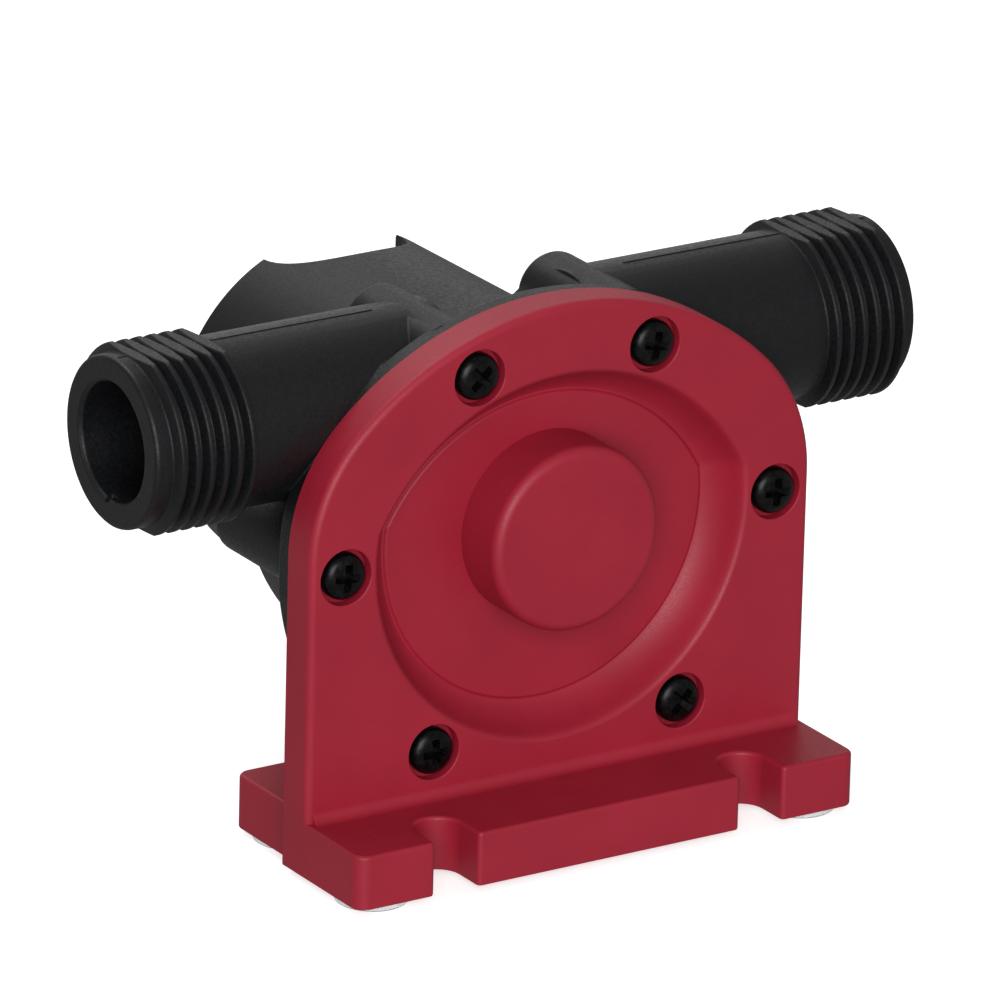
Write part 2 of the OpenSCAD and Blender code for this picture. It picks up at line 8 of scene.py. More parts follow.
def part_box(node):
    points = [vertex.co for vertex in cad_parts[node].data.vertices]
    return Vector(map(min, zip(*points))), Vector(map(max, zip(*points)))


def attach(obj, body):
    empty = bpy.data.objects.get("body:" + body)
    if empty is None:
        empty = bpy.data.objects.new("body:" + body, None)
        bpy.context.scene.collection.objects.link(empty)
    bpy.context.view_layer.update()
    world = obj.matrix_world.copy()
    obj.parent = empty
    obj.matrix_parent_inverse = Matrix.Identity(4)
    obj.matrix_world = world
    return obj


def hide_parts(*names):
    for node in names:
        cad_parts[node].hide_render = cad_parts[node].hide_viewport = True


# The looks of a drill powered pump, put together in the order in which it is assembled:
# the cover, its screws and feet, the housing, then the rotor and what seals and carries it.
# +Z is up and the cover's face is towards -Y. A piece is made in real millimetres, measured from
# the plate's face and the base's underside, and is then set down in the frame, in metres.
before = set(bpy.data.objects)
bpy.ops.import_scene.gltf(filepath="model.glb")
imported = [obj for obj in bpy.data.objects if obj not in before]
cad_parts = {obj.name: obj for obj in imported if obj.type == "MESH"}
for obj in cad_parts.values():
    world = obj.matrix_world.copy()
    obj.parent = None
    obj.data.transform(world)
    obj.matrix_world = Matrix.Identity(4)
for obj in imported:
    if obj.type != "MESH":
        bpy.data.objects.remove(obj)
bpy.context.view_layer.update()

# The camera
# It stands where the photograph was taken from, to the left, in front of and above the pump,
# with a long lens. The values were fitted to points of the pump's known form.
look_at = Vector((-0.0105, -0.02805, 0.0509))
distance = 1.60316
yaw, pitch, roll = math.radians(32.975), math.radians(20.381), math.radians(1.493)
ahead = Vector((math.cos(pitch) * math.sin(yaw), math.cos(pitch) * math.cos(yaw), -math.sin(pitch)))
level = Vector((math.cos(yaw), -math.sin(yaw), 0))
upright = level.cross(ahead)
right = math.cos(roll) * level + math.sin(roll) * upright
up = -math.sin(roll) * level + math.cos(roll) * upright
camera = bpy.data.objects.new("camera", bpy.data.cameras.new("camera"))
camera.data.sensor_width = 36
camera.data.lens = 422.88
camera.data.clip_end = 20
turned = Matrix((right, up, -ahead)).transposed().to_4x4()
camera.matrix_world = Matrix.Translation(look_at - distance * ahead) @ turned
bpy.context.scene.collection.objects.link(camera)
bpy.context.scene.camera = camera

# The cover
# One injection moulding in red ABS: an upright plate with its own base, a dished pocket with a
# raised disc, and the boss that holds the shaft's front bush. Six screws clamp it to the housing.
plate_face = -28.05
base_underside = 1.0
plate_w, plate_t = 81.4, 5.9
axis_z = 43.3
shoulder_r, shoulder_z = 25, 45.1
crown_r = 47.7
plate_edge_r = 1.1
base_h, base_front, rear_foot_end, rear_foot_w = 7.9, -13.9, 21.8, 77.8
base_corner_r, base_edge_r, base_under_r = 2.0, 0.55, 0.25
hairline = 0.02  # keeps the plate's sides from lying exactly on the base's, which a Boolean can't tell apart
slot_x, slot_r, slot_reach, slot_mouth_r = 24.9, 3.5, 4.9, 0.7
web_fillet_r, fillet_tuck = 1.6, 0.5
cam_drop = 10.2
chamber_r, cam_r = 26, 29.2
pocket_grow = 4.6
boss_r, boss_front, boss_edge_r = 13.4, -3.8, 1.5
bush_seat_r, bush_seat_front = 7.03, -0.8
spigot_grow, spigot_overlap, cover_inner = 3, 0.25, 7.6
recess_r, recess_rim, recess_depth, screw_hole_r = 4.0, 0.2, 1.7, 2.0
screw_places = [(-14.2, 68.2), (14.2, 68.2), (-35.0, 42.99), (35.0, 42.99), (-20.18, 14.7), (20.18, 14.7)]
rim_step, corner_step, cam_step = 0.8, 0.45, 1.4  # length of one straight of an arc
into_frame = Matrix.Scale(0.001, 4) @ Matrix.Translation((0, plate_face, base_underside))


def start_point(name, place):
    """A new piece that is one vertex, left in edit mode with the vertex selected."""
    object_mode()
    bpy.ops.mesh.primitive_plane_add(size=1, location=place)
    piece = bpy.context.object
    piece.name = name
    bpy.ops.object.transform_apply(location=True, rotation=True, scale=True)
    bpy.ops.object.mode_set(mode="EDIT")
    bpy.ops.mesh.select_mode(type="VERT")
    bpy.ops.mesh.select_all(action="SELECT")
    bpy.ops.mesh.merge(type="CENTER")
    return piece


def draw_line(x=0, y=0, z=0):
    """Extrudes the end vertex by so many mm."""
    bpy.ops.mesh.extrude_vertices_move(TRANSFORM_OT_translate={"value": (x, y, z)})


def draw_arc(centre, degrees, axis, step_mm, radius):
    """Spins the end vertex about a centre, right-handed about the axis, in steps of so many mm."""
    steps = max(4, round(abs(math.radians(degrees)) * radius / step_mm))
    bpy.ops.mesh.spin(steps=steps, angle=-math.radians(degrees), center=centre, axis=axis)


def fill_and_extrude(depth):
    """Closes the drawn outline, fills it and gives it its depth in mm along a direction."""
    bpy.ops.mesh.select_all(action="SELECT")
    bpy.ops.mesh.remove_doubles(threshold=0.01)
    bpy.ops.mesh.edge_face_add()
    bpy.ops.mesh.select_mode(type="FACE")
    bpy.ops.mesh.extrude_region_move(TRANSFORM_OT_translate={"value": depth})
    bpy.ops.mesh.select_all(action="SELECT")
    bpy.ops.mesh.normals_make_consistent(inside=False)


def pick(kind, test):
    """Selects the faces or edges whose middle m and normal or direction a pass the test."""
    piece = bpy.context.object
    bpy.ops.mesh.select_mode(type=kind)
    bpy.ops.mesh.select_all(action="DESELECT")
    mesh = bmesh.from_edit_mesh(piece.data)
    for part in mesh.faces if kind == "FACE" else mesh.edges:
        middle = sum((v.co for v in part.verts), Vector()) / len(part.verts)
        along = part.normal if kind == "FACE" else (part.verts[1].co - part.verts[0].co).normalized()
        if test(middle, along):
            part.select_set(True)
    bmesh.update_edit_mesh(piece.data)


def object_mode():
    """Leaves edit mode, with nothing selected."""
    if bpy.context.mode != "OBJECT":
        bpy.ops.object.mode_set(mode="OBJECT")
    bpy.ops.object.select_all(action="DESELECT")


def add_drum(name, radius, near, far, x=0, z=axis_z, sides=128):
    """A drum along the pump's axis from one depth to another, in edit mode."""
    object_mode()
    bpy.ops.mesh.primitive_cylinder_add(
        vertices=sides, radius=radius, depth=far - near,
        location=(x, (near + far) / 2, z), rotation=(math.pi / 2, 0, 0))
    piece = bpy.context.object
    piece.name = name
    bpy.ops.object.transform_apply(location=True, rotation=True, scale=True)
    bpy.ops.object.mode_set(mode="EDIT")
    return piece


def combine(piece, tool, operation):
    """Joins the tool to the piece or cuts it out of the piece, and removes the tool.

    A tool reaches a little into or past the piece, so that the two don't only touch."""
    object_mode()
    modifier = piece.modifiers.new(operation, "BOOLEAN")
    modifier.operation, modifier.solver, modifier.object = operation, "MANIFOLD", tool
    bpy.context.view_layer.objects.active = piece
    bpy.ops.object.modifier_apply(modifier=modifier.name)
    bpy.data.objects.remove(tool)


def finish_surface(piece, degrees=35):
    """Smooth shading up to an angle, with flat faces kept flat beside their rounded edges."""
    object_mode()
    piece.select_set(True)
    bpy.context.view_layer.objects.active = piece
    bpy.ops.object.shade_smooth_by_angle(angle=math.radians(degrees))
    modifier = piece.modifiers.new("even_normals", "WEIGHTED_NORMAL")
    modifier.keep_sharp = True
    bpy.ops.object.modifier_apply(modifier=modifier.name)


# The plate is drawn round from its lower right corner, then given its thickness
shoulder_x = plate_w / 2 - hairline - shoulder_r
crown_z = shoulder_z - math.sqrt((crown_r - shoulder_r) ** 2 - shoulder_x ** 2)
crown_angle = math.degrees(math.atan2(shoulder_z - crown_z, shoulder_x))
cover = start_point("cover_moulding", (plate_w / 2 - hairline, 0, 1))
draw_line(z=shoulder_z - 1)
draw_arc((shoulder_x, 0, shoulder_z), -crown_angle, (0, 1, 0), rim_step, shoulder_r)
draw_arc((0, 0, crown_z), -2 * (90 - crown_angle), (0, 1, 0), rim_step, crown_r)
draw_arc((-shoulder_x, 0, shoulder_z), -crown_angle, (0, 1, 0), rim_step, shoulder_r)
draw_line(z=1 - shoulder_z)
fill_and_extrude((0, plate_t, 0))
pick("EDGE", lambda m, a: abs(m.y) < 0.01 and m.z > 1.01)
bpy.ops.mesh.bevel(offset=plate_edge_r, segments=5, profile=0.5, clamp_overlap=False)

# The base is drawn in plan with the four slots in its outline: its front half, then its rear half
base = start_point("base", (plate_w / 2, plate_t - hairline, 0))
for half_w, edge_y, side in ((plate_w / 2, base_front, -1), (rear_foot_w / 2, rear_foot_end, 1)):
    if side > 0:
        draw_line(x=(plate_w - rear_foot_w) / 2)
    corner_x, corner_y = side * (half_w - base_corner_r), edge_y - side * base_corner_r
    draw_line(y=corner_y - plate_t + hairline)
    draw_arc((-corner_x, corner_y, 0), -90, (0, 0, 1), corner_step, base_corner_r)
    here = -corner_x
    for middle in (-side * slot_x, side * slot_x):
        draw_line(x=middle - side * slot_r - here)
        draw_line(y=-side * slot_reach)
        draw_arc((middle, edge_y - side * slot_reach, 0), 180, (0, 0, 1), corner_step, slot_r)
        draw_line(y=side * slot_reach)
        here = middle + side * slot_r
    draw_line(x=corner_x - here)
    draw_arc((corner_x, corner_y, 0), -90, (0, 0, 1), corner_step, base_corner_r)
    draw_line(y=-(corner_y - plate_t + hairline))
fill_and_extrude((0, 0, base_h))
mouths = [side * slot_x + edge * slot_r for side in (-1, 1) for edge in (-1, 1)]
pick("EDGE", lambda m, a: abs(a.z) > 0.9 and min(abs(m.y - base_front), abs(m.y - rear_foot_end)) < 0.01
     and min(abs(m.x - x) for x in mouths) < 0.01)
bpy.ops.mesh.bevel(offset=slot_mouth_r, segments=3, profile=0.5, clamp_overlap=False)
pick("EDGE", lambda m, a: abs(a.z) < 0.1 and m.z > base_h - 0.01)
bpy.ops.mesh.bevel(offset=base_edge_r, segments=3, profile=0.5, clamp_overlap=False)
pick("EDGE", lambda m, a: abs(a.z) < 0.1 and m.z < 0.01)
bpy.ops.mesh.bevel(offset=base_under_r, segments=2, profile=0.5, clamp_overlap=False)
combine(cover, base, "UNION")

# The fillet between the plate and the base runs along the whole front
fillet_x = -plate_w / 2 + plate_edge_r
fillet = start_point("web_fillet", (fillet_x, -web_fillet_r, base_h))
draw_arc((fillet_x, -web_fillet_r, base_h + web_fillet_r), 90, (1, 0, 0), 0.3, web_fillet_r)
draw_line(y=fillet_tuck)
draw_line(z=-web_fillet_r - fillet_tuck)
draw_line(y=-web_fillet_r - fillet_tuck)
fill_and_extrude((plate_w - 2 * plate_edge_r, 0, 0))
combine(cover, fillet, "UNION")


def cam_outline(name, depth, grow):
    """The chamber's outline at a depth: a circle with a flatter arc over the top, larger by grow."""
    r, flat_r = chamber_r + grow, cam_r + grow
    corner_z = (flat_r ** 2 - r ** 2 - cam_drop ** 2) / (2 * cam_drop)
    corner_x = math.sqrt(r ** 2 - corner_z ** 2)
    over_angle = 2 * math.degrees(math.atan2(corner_x, corner_z + cam_drop))
    under_angle = 360 - 2 * math.degrees(math.atan2(corner_x, corner_z))
    piece = start_point(name, (corner_x, depth, axis_z + corner_z))
    draw_arc((0, depth, axis_z - cam_drop), -over_angle, (0, 1, 0), cam_step, flat_r)
    draw_arc((0, depth, axis_z), -under_angle, (0, 1, 0), cam_step, r)
    return piece


def carve(steps):
    """Insets the face that lies deepest, again and again, by a width and a depth in mm, and pokes it."""
    deepest = max(v.co.y for v in bmesh.from_edit_mesh(bpy.context.object.data).verts)
    pick("FACE", lambda m, a: abs(m.y - deepest) < 0.001 and a.y > 0.9)
    for width, depth in steps:
        bpy.ops.mesh.inset(thickness=width, depth=depth, use_even_offset=False, use_individual=True)
    bpy.ops.mesh.poke()


# The pocket's tool is drawn at the lip and inset down the soft wall, round the valley and up to the disc.
# The wall is given by its radius and its depth.
pocket = cam_outline("pocket", -1, pocket_grow)
fill_and_extrude((0, 1, 0))
wall = [(30.6, 0), (30.35, 0.05), (30.05, 0.2), (29.8, 0.48), (29.5, 1.0), (29.15, 1.75), (28.7, 2.65),
        (28.15, 3.5), (27.55, 4.25), (26.95, 4.85), (26.45, 5.25), (26.05, 5.45), (25.85, 5.4), (25.7, 5.2),
        (25.58, 5.06), (25.35, 5.0)]
carve([(a[0] - b[0], b[1] - a[1]) for a, b in zip(wall, wall[1:])])
combine(cover, pocket, "DIFFERENCE")
spigot = cam_outline("spigot", plate_t - spigot_overlap, spigot_grow)
fill_and_extrude((0, cover_inner - plate_t + spigot_overlap, 0))
combine(cover, spigot, "UNION")
boss = add_drum("boss", boss_r, boss_front, cover_inner - 0.3)
pick("EDGE", lambda m, a: abs(m.y - boss_front) < 0.01)
bpy.ops.mesh.bevel(offset=boss_edge_r, segments=7, profile=0.5, clamp_overlap=False)
combine(cover, boss, "UNION")
bush_seat = add_drum("bush_seat", bush_seat_r, bush_seat_front, cover_inner + 1, sides=64)
combine(cover, bush_seat, "DIFFERENCE")
for x, z in screw_places:
    recess = add_drum("recess", recess_r + recess_rim, -1, 0, x, z, sides=64)
    carve([(0.6 * recess_rim, 0.06), (0.4 * recess_rim, 0.16), (0, recess_depth - 0.22)])
    combine(cover, recess, "DIFFERENCE")
    hole = add_drum("hole", screw_hole_r, 1, 12, x, z, sides=32)
    combine(cover, hole, "DIFFERENCE")
cover.data.transform(into_frame)
finish_surface(cover)


def linear(code):
    """An sRGB hex colour as linear RGBA."""
    parts = [int(code[i:i + 2], 16) / 255 for i in (1, 3, 5)]
    return [p / 12.92 if p <= 0.04045 else ((p + 0.055) / 1.055) ** 2.4 for p in parts] + [1]


def add_node(tree, kind, settings=None, inputs=None, links=None):
    """A node with its settings, input values and the sockets that feed it."""
    node = tree.nodes.new(kind)
    for name, value in (settings or {}).items():
        setattr(node, name, value)
    for name, value in (inputs or {}).items():
        node.inputs[name].default_value = value
    for name, socket in (links or {}).items():
        tree.links.new(socket, node.inputs[name])
    return node


def new_material(name):
    """An empty node material with a Principled BSDF, its tree and the Object coordinates."""
    material = bpy.data.materials.new(name)
    material.use_nodes = True
    tree = material.node_tree
    shader = tree.nodes["Principled BSDF"]
    place = add_node(tree, "ShaderNodeTexCoord").outputs["Object"]
    return material, tree, shader, place


# Injection moulded ABS with a fine spark-eroded grain: the grain breaks the gloss into a satin
# sheen, and the pigment is a little uneven where the melt flowed. The real grain is about 0.1 mm
# across, too fine to show, and is drawn coarser.
red_abs, tree, shader, place = new_material("moulded_red_abs")
shader.inputs["IOR"].default_value = 1.54
shader.inputs["Specular IOR Level"].default_value = 0.35
grain_mm, flow_mm = 0.28, 14
flow = add_node(tree, "ShaderNodeTexNoise", {}, {"Scale": 1000 / flow_mm, "Detail": 3, "Roughness": 0.55},
                {"Vector": place})
hue = add_node(tree, "ShaderNodeValToRGB", {}, {}, {"Fac": flow.outputs["Fac"]})
hue.color_ramp.elements[0].position, hue.color_ramp.elements[0].color = 0.3, linear("#9B1B2F")
hue.color_ramp.elements[1].position, hue.color_ramp.elements[1].color = 0.7, linear("#A41F34")
tree.links.new(hue.outputs["Color"], shader.inputs["Base Color"])
grain = add_node(tree, "ShaderNodeTexNoise", {}, {"Scale": 1000 / grain_mm, "Detail": 2, "Roughness": 0.6},
                 {"Vector": place})
gloss = add_node(tree, "ShaderNodeMapRange", {},
                 {"From Min": 0.3, "From Max": 0.7, "To Min": 0.42, "To Max": 0.56},
                 {"Value": grain.outputs["Fac"]})
tree.links.new(gloss.outputs["Result"], shader.inputs["Roughness"])
relief = add_node(tree, "ShaderNodeBump", {}, {"Strength": 0.25, "Distance": 0.00004},
                  {"Height": grain.outputs["Fac"]})
tree.links.new(relief.outputs["Normal"], shader.inputs["Normal"])
cover.data.materials.clear()
cover.data.materials.append(red_abs)
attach(cover, "pump")
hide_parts("front_cover")

# The six cover screws
# Thread-forming steel screws with a pan head and a cross recess, black zinc plated. Each sits
# in a round recess of the cover and bites into a boss of the housing.
head_r, head_h, head_rim, shank_r, shank_end = 3.35, 2.3, 0.9, 1.72, 14.2
wing_l, wing_h, wing_t, cross_core_r = 5.4, 2.4, 1.5, 1.3
cross_turns = (45, 10, 5, 5, -2, 42)
head_seat = recess_depth
screw = add_drum("cover_screw", head_r, head_seat - head_rim, head_seat, sides=72)
pick("FACE", lambda m, a: a.y < -0.9)
dome = [(head_r, head_rim), (3.28, 1.25), (3.08, 1.6), (2.76, 1.88), (2.3, 2.08), (1.7, 2.22), (0.9, 2.29)]
for (outer, low), (inner, high) in zip(dome, dome[1:]):
    bpy.ops.mesh.inset(thickness=outer - inner, depth=high - low, use_even_offset=False, use_individual=True)
shank = add_drum("shank", shank_r, head_seat - 0.3, shank_end, sides=32)
pick("EDGE", lambda m, a: abs(m.y - shank_end) < 0.01)
bpy.ops.mesh.bevel(offset=1.0, segments=1, clamp_overlap=False)
combine(screw, shank, "UNION")

# The cross is two wings that narrow towards the bottom, and a core that narrows to a point
for turn in (0, 90):
    object_mode()
    bpy.ops.mesh.primitive_cube_add(size=1, location=(0, head_seat - head_h + 0.3, axis_z))
    wing = bpy.context.object
    wing.scale = (wing_l, wing_h, wing_t)
    bpy.ops.object.transform_apply(location=True, rotation=True, scale=True)
    bpy.ops.object.mode_set(mode="EDIT")
    pick("FACE", lambda m, a: a.y > 0.9)
    bpy.ops.transform.resize(value=(0.4, 1, 0.5), center_override=(0, 0, axis_z))
    bpy.ops.mesh.select_all(action="SELECT")
    bpy.ops.transform.rotate(value=math.radians(turn), orient_axis="Y", center_override=(0, 0, axis_z))
    pick("EDGE", lambda m, a: abs(a.y) > 0.3)
    bpy.ops.mesh.bevel(offset=0.12, segments=2, clamp_overlap=False)
    combine(screw, wing, "DIFFERENCE")
recess_core = add_drum("recess_core", cross_core_r, head_seat - head_h - 1, head_seat - head_rim, sides=24)
pick("FACE", lambda m, a: a.y > 0.9)
bpy.ops.transform.resize(value=(0.3, 1, 0.3), center_override=(0, 0, axis_z))
combine(screw, recess_core, "DIFFERENCE")
finish_surface(screw, 40)

# Black zinc over steel: a thin dark film that keeps the metal's gloss, with faint scuffs from the driver
black_zinc, tree, shader, place = new_material("black_zinc_plated_steel")
shader.inputs["Metallic"].default_value = 0.75
scuff_mm = 0.9
scuff = add_node(tree, "ShaderNodeTexNoise", {}, {"Scale": 1000 / scuff_mm, "Detail": 4, "Roughness": 0.65},
                 {"Vector": place})
film = add_node(tree, "ShaderNodeValToRGB", {}, {}, {"Fac": scuff.outputs["Fac"]})
film.color_ramp.elements[0].position, film.color_ramp.elements[0].color = 0.35, linear("#0E0E0F")
film.color_ramp.elements[1].position, film.color_ramp.elements[1].color = 0.8, linear("#242426")
tree.links.new(film.outputs["Color"], shader.inputs["Base Color"])
gloss = add_node(tree, "ShaderNodeMapRange", {},
                 {"From Min": 0.3, "From Max": 0.7, "To Min": 0.24, "To Max": 0.4},
                 {"Value": scuff.outputs["Fac"]})
tree.links.new(gloss.outputs["Result"], shader.inputs["Roughness"])
relief = add_node(tree, "ShaderNodeBump", {}, {"Strength": 0.15, "Distance": 0.00003},
                  {"Height": scuff.outputs["Fac"]})
tree.links.new(relief.outputs["Normal"], shader.inputs["Normal"])
screw.data.materials.clear()
screw.data.materials.append(black_zinc)
for number, ((x, z), turn) in enumerate(zip(screw_places, cross_turns), 1):
    piece = bpy.data.objects.new(f"cover_screw_{number}", screw.data.copy())
    bpy.context.scene.collection.objects.link(piece)
    turned = Matrix.Rotation(math.radians(turn), 4, "Y") @ Matrix.Translation((0, 0, -axis_z))
    piece.data.transform(into_frame @ Matrix.Translation((x, 0, z)) @ turned)
    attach(piece, "pump")
    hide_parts("cover_screws")
bpy.data.objects.remove(screw)

# The four foot pads
# Self-adhesive bumpers of clear polyurethane, flat on the glued side with a rounded rim below.
# They keep the pump from sliding on a bench.
pad_edge_r = 0.45

# Clear polyurethane: see-through with a slight haze, which blurs what lies behind it
clear_pu, tree, shader, place = new_material("clear_polyurethane")
shader.inputs["IOR"].default_value = 1.5
shader.inputs["Transmission Weight"].default_value = 0.55
shader.inputs["Base Color"].default_value = linear("#E9EBEB")
haze_mm = 1.8
haze = add_node(tree, "ShaderNodeTexNoise", {}, {"Scale": 1000 / haze_mm, "Detail": 2}, {"Vector": place})
gloss = add_node(tree, "ShaderNodeMapRange", {}, {"To Min": 0.12, "To Max": 0.38},
                 {"Value": haze.outputs["Fac"]})
tree.links.new(gloss.outputs["Result"], shader.inputs["Roughness"])
for corner in ("front_left", "front_right", "rear_left", "rear_right"):
    low, high = (into_frame.inverted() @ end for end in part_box(f"foot_pad_{corner}"))
    object_mode()
    bpy.ops.mesh.primitive_cylinder_add(
        vertices=64, radius=(high.x - low.x) / 2, depth=high.z - low.z, location=(low + high) / 2)
    pad = bpy.context.object
    pad.name = f"clear_pad_{corner}"
    bpy.ops.object.transform_apply(location=True, rotation=True, scale=True)
    bpy.ops.object.mode_set(mode="EDIT")
    pick("EDGE", lambda m, a: abs(a.z) < 0.1 and m.z < -0.9)
    bpy.ops.mesh.bevel(offset=pad_edge_r, segments=4, profile=0.5, clamp_overlap=False)
    object_mode()
    pad.data.transform(into_frame)
    finish_surface(pad)
    pad.data.materials.append(clear_pu)
    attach(pad, "pump")
    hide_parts(f"foot_pad_{corner}")

# The housing
# One injection moulding in black glass-filled nylon: flange, chamber, two hose ports with their
# threads, six screw bosses and the bell round the shaft. The mould's halves part along the ports.
rim_gap, flange_r, flange_rear, flange_edge_r = 0.3, 40.6, 9.0, 0.5
body_grow, body_taper, body_end, body_edge_r = 5.4, 0.943, 36, 1.2
bell_rear_r, bell_front_r, bell_inner_r, bell_front, bell_end = 25.1, 25.5, 22.5, 31.2, 62
scallop_r, bell_edge_r = 11, 0.5
blend_r = 4.0
port_y, port_z, port_end, port_edge_r, tube_r, tube_root = 18.05, 61.4, 61.7, 0.6, 12.1, 11.5
thread_pitch, thread_turns, thread_crest_r, thread_flat = 2.209, 6, 13.5, 12.35
thread_root_r, thread_foot, thread_crest, last_ridge = 10.3, 0.95, 0.31, 46.44
parting_middle, parting_length, parting_w, parting_h = 40.6, 40.2, 0.3, 0.1
port_bore_r, bore_bottom, throat_r, elbow_x = 8.45, 30.7, 6.0, 17.5
drop_r, drop_length, drop_below, notch_r = 5.5, 17.7, 6.15, 0.55
boss_rs, boss_end, boss_round = (5.5, 5.5, 4.7, 4.7, 4.7, 4.7), 27.2, 1.2
pilot_r, pilot_end = 1.78, 15.2
chamber_rear, seal_tube_r, seal_tube_end, seal_tube_edge_r = 28.2, 14, 46.85, 0.4
rib_l, rib_h, rib_t = 10.5, 10, 2
# Radius, front and rear of the seats of the rear thrust washer and bush, the shaft's hole and the seal's seat
shaft_seats = ((8.8, 27.2, 28.85), (bush_seat_r, 27.2, 36.85), (5.0, 28.2, 47.85), (11.03, 37.85, 47.85))
half_flange = shoulder_x + shoulder_r - rim_gap
rim_drop = math.sqrt(flange_r ** 2 - half_flange ** 2)

# The flange follows the plate's edge above and a circle below, down to a flat that clears the base
foot_drop = axis_z - base_h - rim_gap
foot_x = math.sqrt(flange_r ** 2 - foot_drop ** 2)
rim_angle = math.degrees(math.asin(foot_drop / flange_r) - math.asin(rim_drop / flange_r))
housing = start_point("housing_moulding", (half_flange, plate_t, axis_z - rim_drop))
draw_line(z=shoulder_z - axis_z + rim_drop)
draw_arc((shoulder_x, plate_t, shoulder_z), -crown_angle, (0, 1, 0), rim_step, shoulder_r - rim_gap)
draw_arc((0, plate_t, crown_z), -2 * (90 - crown_angle), (0, 1, 0), rim_step, crown_r - rim_gap)
draw_arc((-shoulder_x, plate_t, shoulder_z), -crown_angle, (0, 1, 0), rim_step, shoulder_r - rim_gap)
draw_line(z=-(shoulder_z - axis_z + rim_drop))
draw_arc((0, plate_t, axis_z), -rim_angle, (0, 1, 0), rim_step, flange_r)
draw_line(x=2 * foot_x)
draw_arc((0, plate_t, axis_z), -rim_angle, (0, 1, 0), rim_step, flange_r)
fill_and_extrude((0, flange_rear - plate_t, 0))
pick("EDGE", lambda m, a: abs(m.y - flange_rear) < 0.01)
bpy.ops.mesh.bevel(offset=flange_edge_r, segments=3, profile=0.5, clamp_overlap=False)

# The body round the chamber and the bell behind it both narrow towards the rear
body = cam_outline("body", flange_rear - 1, body_grow)
fill_and_extrude((0, body_end - flange_rear + 1, 0))
pick("FACE", lambda m, a: a.y > 0.9)
bpy.ops.transform.resize(value=(body_taper, 1, body_taper), center_override=(0, 0, axis_z))
pick("EDGE", lambda m, a: abs(m.y - body_end) < 0.01)
bpy.ops.mesh.bevel(offset=body_edge_r, segments=4, profile=0.5, clamp_overlap=False)
combine(housing, body, "UNION")
bell = add_drum("bell", bell_front_r, flange_rear - 1, bell_end, sides=180)
pick("FACE", lambda m, a: a.y > 0.9)
bell_taper = bell_rear_r / bell_front_r
bpy.ops.transform.resize(value=(bell_taper, 1, bell_taper), center_override=(0, 0, axis_z))
pick("EDGE", lambda m, a: abs(m.y - bell_end) < 0.01)
bpy.ops.mesh.bevel(offset=bell_edge_r, segments=3, profile=0.5, clamp_overlap=False)
combine(housing, bell, "UNION")

# A concave web fills the valley between the bell and each top boss. Its arc touches both, and the
# rest of its outline lies inside them.
boss_x, boss_z = screw_places[1]
boss_far = math.hypot(boss_x, boss_z - axis_z)
far, near = bell_front_r + blend_r, boss_rs[0] + blend_r
spread = math.acos((boss_far ** 2 + far ** 2 - near ** 2) / (2 * boss_far * far))
lean = math.atan2(boss_x, boss_z - axis_z) - spread
blend_x, blend_z = far * math.sin(lean), axis_z + far * math.cos(lean)
touch_x, touch_z = bell_front_r * math.sin(lean), axis_z + bell_front_r * math.cos(lean)
to_boss = math.atan2(boss_z - blend_z, boss_x - blend_x)
sweep = math.degrees(to_boss - math.atan2(axis_z - blend_z, -blend_x))
into_boss, into_body, web_short = (3, -4), (-5, -3), 0.4
for side in (-1, 1):
    web = start_point("web", (side * touch_x, flange_rear - 1, touch_z))
    draw_arc((side * blend_x, flange_rear - 1, blend_z), -side * sweep, (0, 1, 0), 0.3, blend_r)
    draw_line(x=side * into_boss[0], z=into_boss[1])
    draw_line(x=side * into_body[0], z=into_body[1])
    fill_and_extrude((0, boss_end - flange_rear - web_short, 0))
    combine(housing, web, "UNION")


def add_pipe(name, radius, near, far, sides=112):
    """A drum along a port's axis, from one distance off the middle to another, in edit mode."""
    object_mode()
    bpy.ops.mesh.primitive_cylinder_add(
        vertices=sides, radius=radius, depth=far - near,
        location=((near + far) / 2, port_y, port_z), rotation=(0, math.pi / 2, 0))
    piece = bpy.context.object
    piece.name = name
    bpy.ops.object.transform_apply(location=True, rotation=True, scale=True)
    bpy.ops.object.mode_set(mode="EDIT")
    return piece


def both_sides(piece, target, operation):
    """Combines the piece and a copy turned half round the upright line through the ports."""
    object_mode()
    to_line = Matrix.Translation((0, port_y, 0))
    half_turn = to_line @ Matrix.Rotation(math.pi, 4, "Z") @ to_line.inverted()
    other = bpy.data.objects.new(piece.name + "_left", piece.data.copy())
    bpy.context.scene.collection.objects.link(other)
    other.data.transform(half_turn)
    combine(target, piece, operation)
    combine(target, other, operation)


# A port is modelled once and its copy is turned round for the left side. The thread is one
# right-hand ridge wound round the tube, with a flat above and below where the mould parts.
port = add_pipe("port", tube_r, tube_root, port_end)
pick("EDGE", lambda m, a: abs(m.x - port_end) < 0.01)
bpy.ops.mesh.bevel(offset=port_edge_r, segments=3, profile=0.5, clamp_overlap=False)
thread = start_point("thread", (last_ridge - thread_foot, 0, -thread_root_r))
draw_line(z=thread_root_r - tube_r)
draw_line(x=thread_foot - thread_crest, z=tube_r - thread_crest_r)
draw_line(x=2 * thread_crest)
draw_line(x=thread_foot - thread_crest, z=thread_crest_r - tube_r)
draw_line(z=tube_r - thread_root_r)
draw_line(x=-2 * thread_foot)
bpy.ops.mesh.select_all(action="SELECT")
bpy.ops.mesh.remove_doubles(threshold=0.01)
object_mode()
modifier = thread.modifiers.new("helix", "SCREW")
modifier.axis, modifier.angle = "X", math.tau
modifier.screw_offset, modifier.iterations = thread_pitch, thread_turns
modifier.steps = modifier.render_steps = 96
bpy.context.view_layer.objects.active = thread
bpy.ops.object.modifier_apply(modifier=modifier.name)
